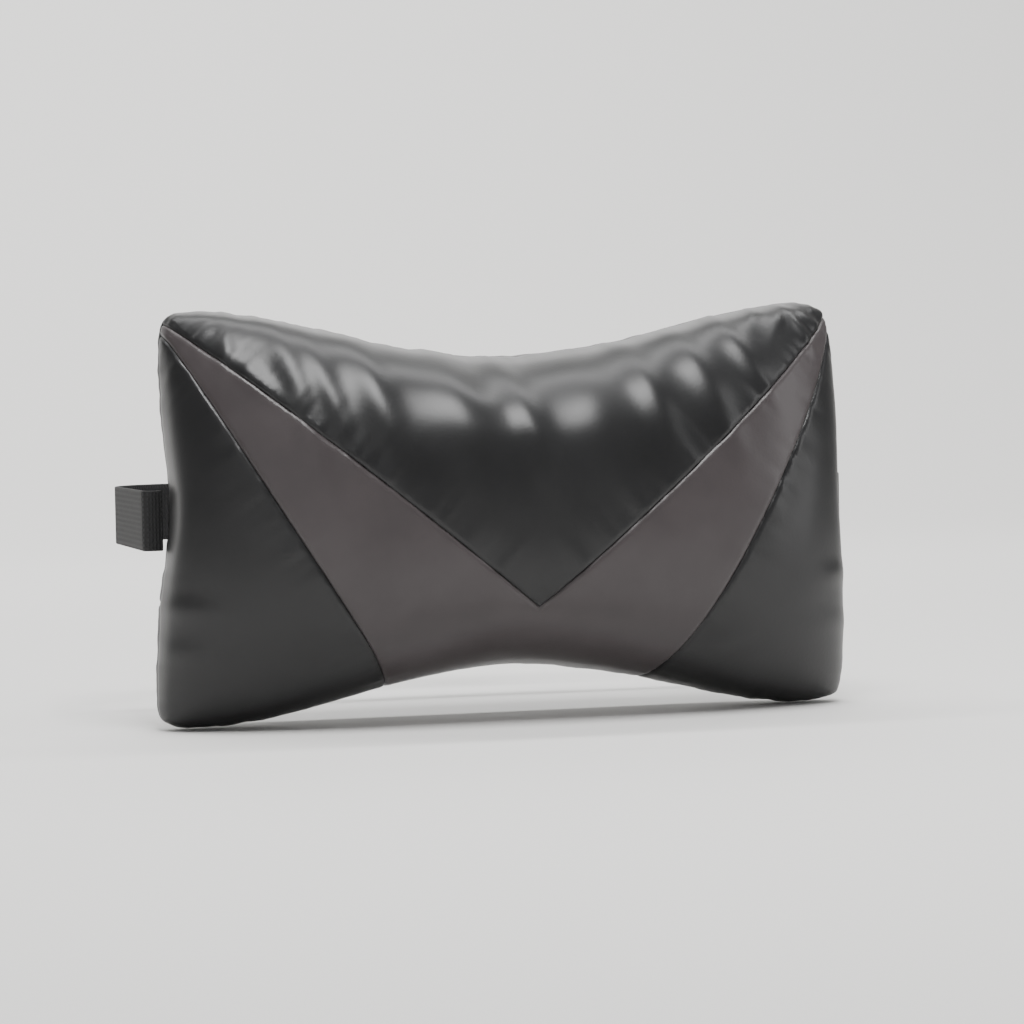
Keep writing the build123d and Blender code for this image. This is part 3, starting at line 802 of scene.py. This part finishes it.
stage = {
    "halfWidth": 7.0, "front": -6.0, "wall": 3.2, "wallBend": 1.6, "wallTop": 6.0,
    "bendFrom": 0.5, "bendTo": 0.9, "gap": 0.0005, "rows": 40,
    "floor": "#e6e5e3", "world": "#ffffff", "worldStrength": 0.26,
}
lamps = {
    "overhead": {"place": (-0.04, -0.50, 1.12), "aim": (0, -0.06, 0.02), "size": (0.50, 0.70), "power": 21},
    "frontFill": {"place": (-0.9, -1.6, 0.5), "aim": (0, -0.05, 0), "size": (1.0, 1.0), "power": 2.5},
    "rightRim": {"place": (1.1, -0.5, 0.4), "aim": (0, -0.05, 0), "size": (0.3, 1.0), "power": 4},
    "backFill": {"place": (0.3, 1.3, 0.9), "aim": (0, 0, 0), "size": (1.0, 0.8), "power": 3},
    "wallWash": {"place": (0, 0.9, 2.6), "aim": (0, 3.0, 0.7), "size": (4.0, 0.8), "power": 165},
}
shot = {
    "azimuth": -14.7, "elevation": 2.0, "roll": -1.15, "distance": 1.37, "aim": (0.0, -0.040, 0.0),
    "lens": 115.0,
}


def paintedFloor():
    # matt emulsion: no highlight, only a soft shadow
    material, tree, shader = newMaterial("paintedFloor")
    shader.inputs["Base Color"].default_value = linearHex(stage["floor"])
    shader.inputs["Roughness"].default_value = 0.8
    return material


def addLight(name, place, aim, size, power):
    data = bpy.data.lights.new(name, "AREA")
    data.shape, data.size, data.size_y, data.energy = "RECTANGLE", size[0], size[1], power
    lamp = bpy.data.objects.new(name, data)
    scene.collection.objects.link(lamp)
    lamp.location = place
    lamp.rotation_mode = "QUATERNION"
    lamp.rotation_quaternion = (Vector(aim) - Vector(place)).to_track_quat("-Z", "Y")


bpy.ops.object.select_all(action="DESELECT")
bpy.ops.mesh.primitive_grid_add(x_subdivisions=1, y_subdivisions=stage["rows"], size=2)
floor = bpy.context.active_object
floor.name = "floor"
floorLevel = min(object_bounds()[0].z, cadBox[0].z) - stage["gap"]
flatDepth = stage["wall"] - stage["wallBend"] - stage["front"]
for vertex in floor.data.vertices:
    share = (vertex.co.y + 1) / 2
    turn = clampShare((share - stage["bendFrom"]) / (stage["bendTo"] - stage["bendFrom"])) * math.pi / 2
    y = stage["front"] + flatDepth * min(1.0, share / stage["bendFrom"]) + stage["wallBend"] * math.sin(turn)
    upWall = max(0.0, share - stage["bendTo"]) / (1 - stage["bendTo"])
    rise = stage["wallBend"] * (1 - math.cos(turn)) + upWall * stage["wallTop"]
    vertex.co = (vertex.co.x * stage["halfWidth"], y, floorLevel + rise)
activate(floor)
bpy.ops.object.shade_smooth()
dress(floor, paintedFloor())

world = scene.world or bpy.data.worlds.new("world")
scene.world = world
world.use_nodes = True
sky = world.node_tree.nodes["Background"]
sky.inputs["Color"].default_value = linearHex(stage["world"])
sky.inputs["Strength"].default_value = stage["worldStrength"]
for name, lamp in lamps.items():
    addLight(name, **lamp)

azimuth, elevation = math.radians(shot["azimuth"]), math.radians(shot["elevation"])
level = math.cos(elevation)
back = Vector((math.sin(azimuth) * level, -math.cos(azimuth) * level, math.sin(elevation)))
cameraData = bpy.data.cameras.new("camera")
cameraData.lens = shot["lens"]
camera = bpy.data.objects.new("camera", cameraData)
scene.collection.objects.link(camera)
camera.location = Vector(shot["aim"]) + back * shot["distance"]
camera.rotation_mode = "QUATERNION"
facing = (-back).to_track_quat("-Z", "Y").to_matrix().to_4x4()
camera.rotation_quaternion = (facing @ Matrix.Rotation(math.radians(shot["roll"]), 4, "Z")).to_quaternion()
scene.camera = camera
print("stage set")
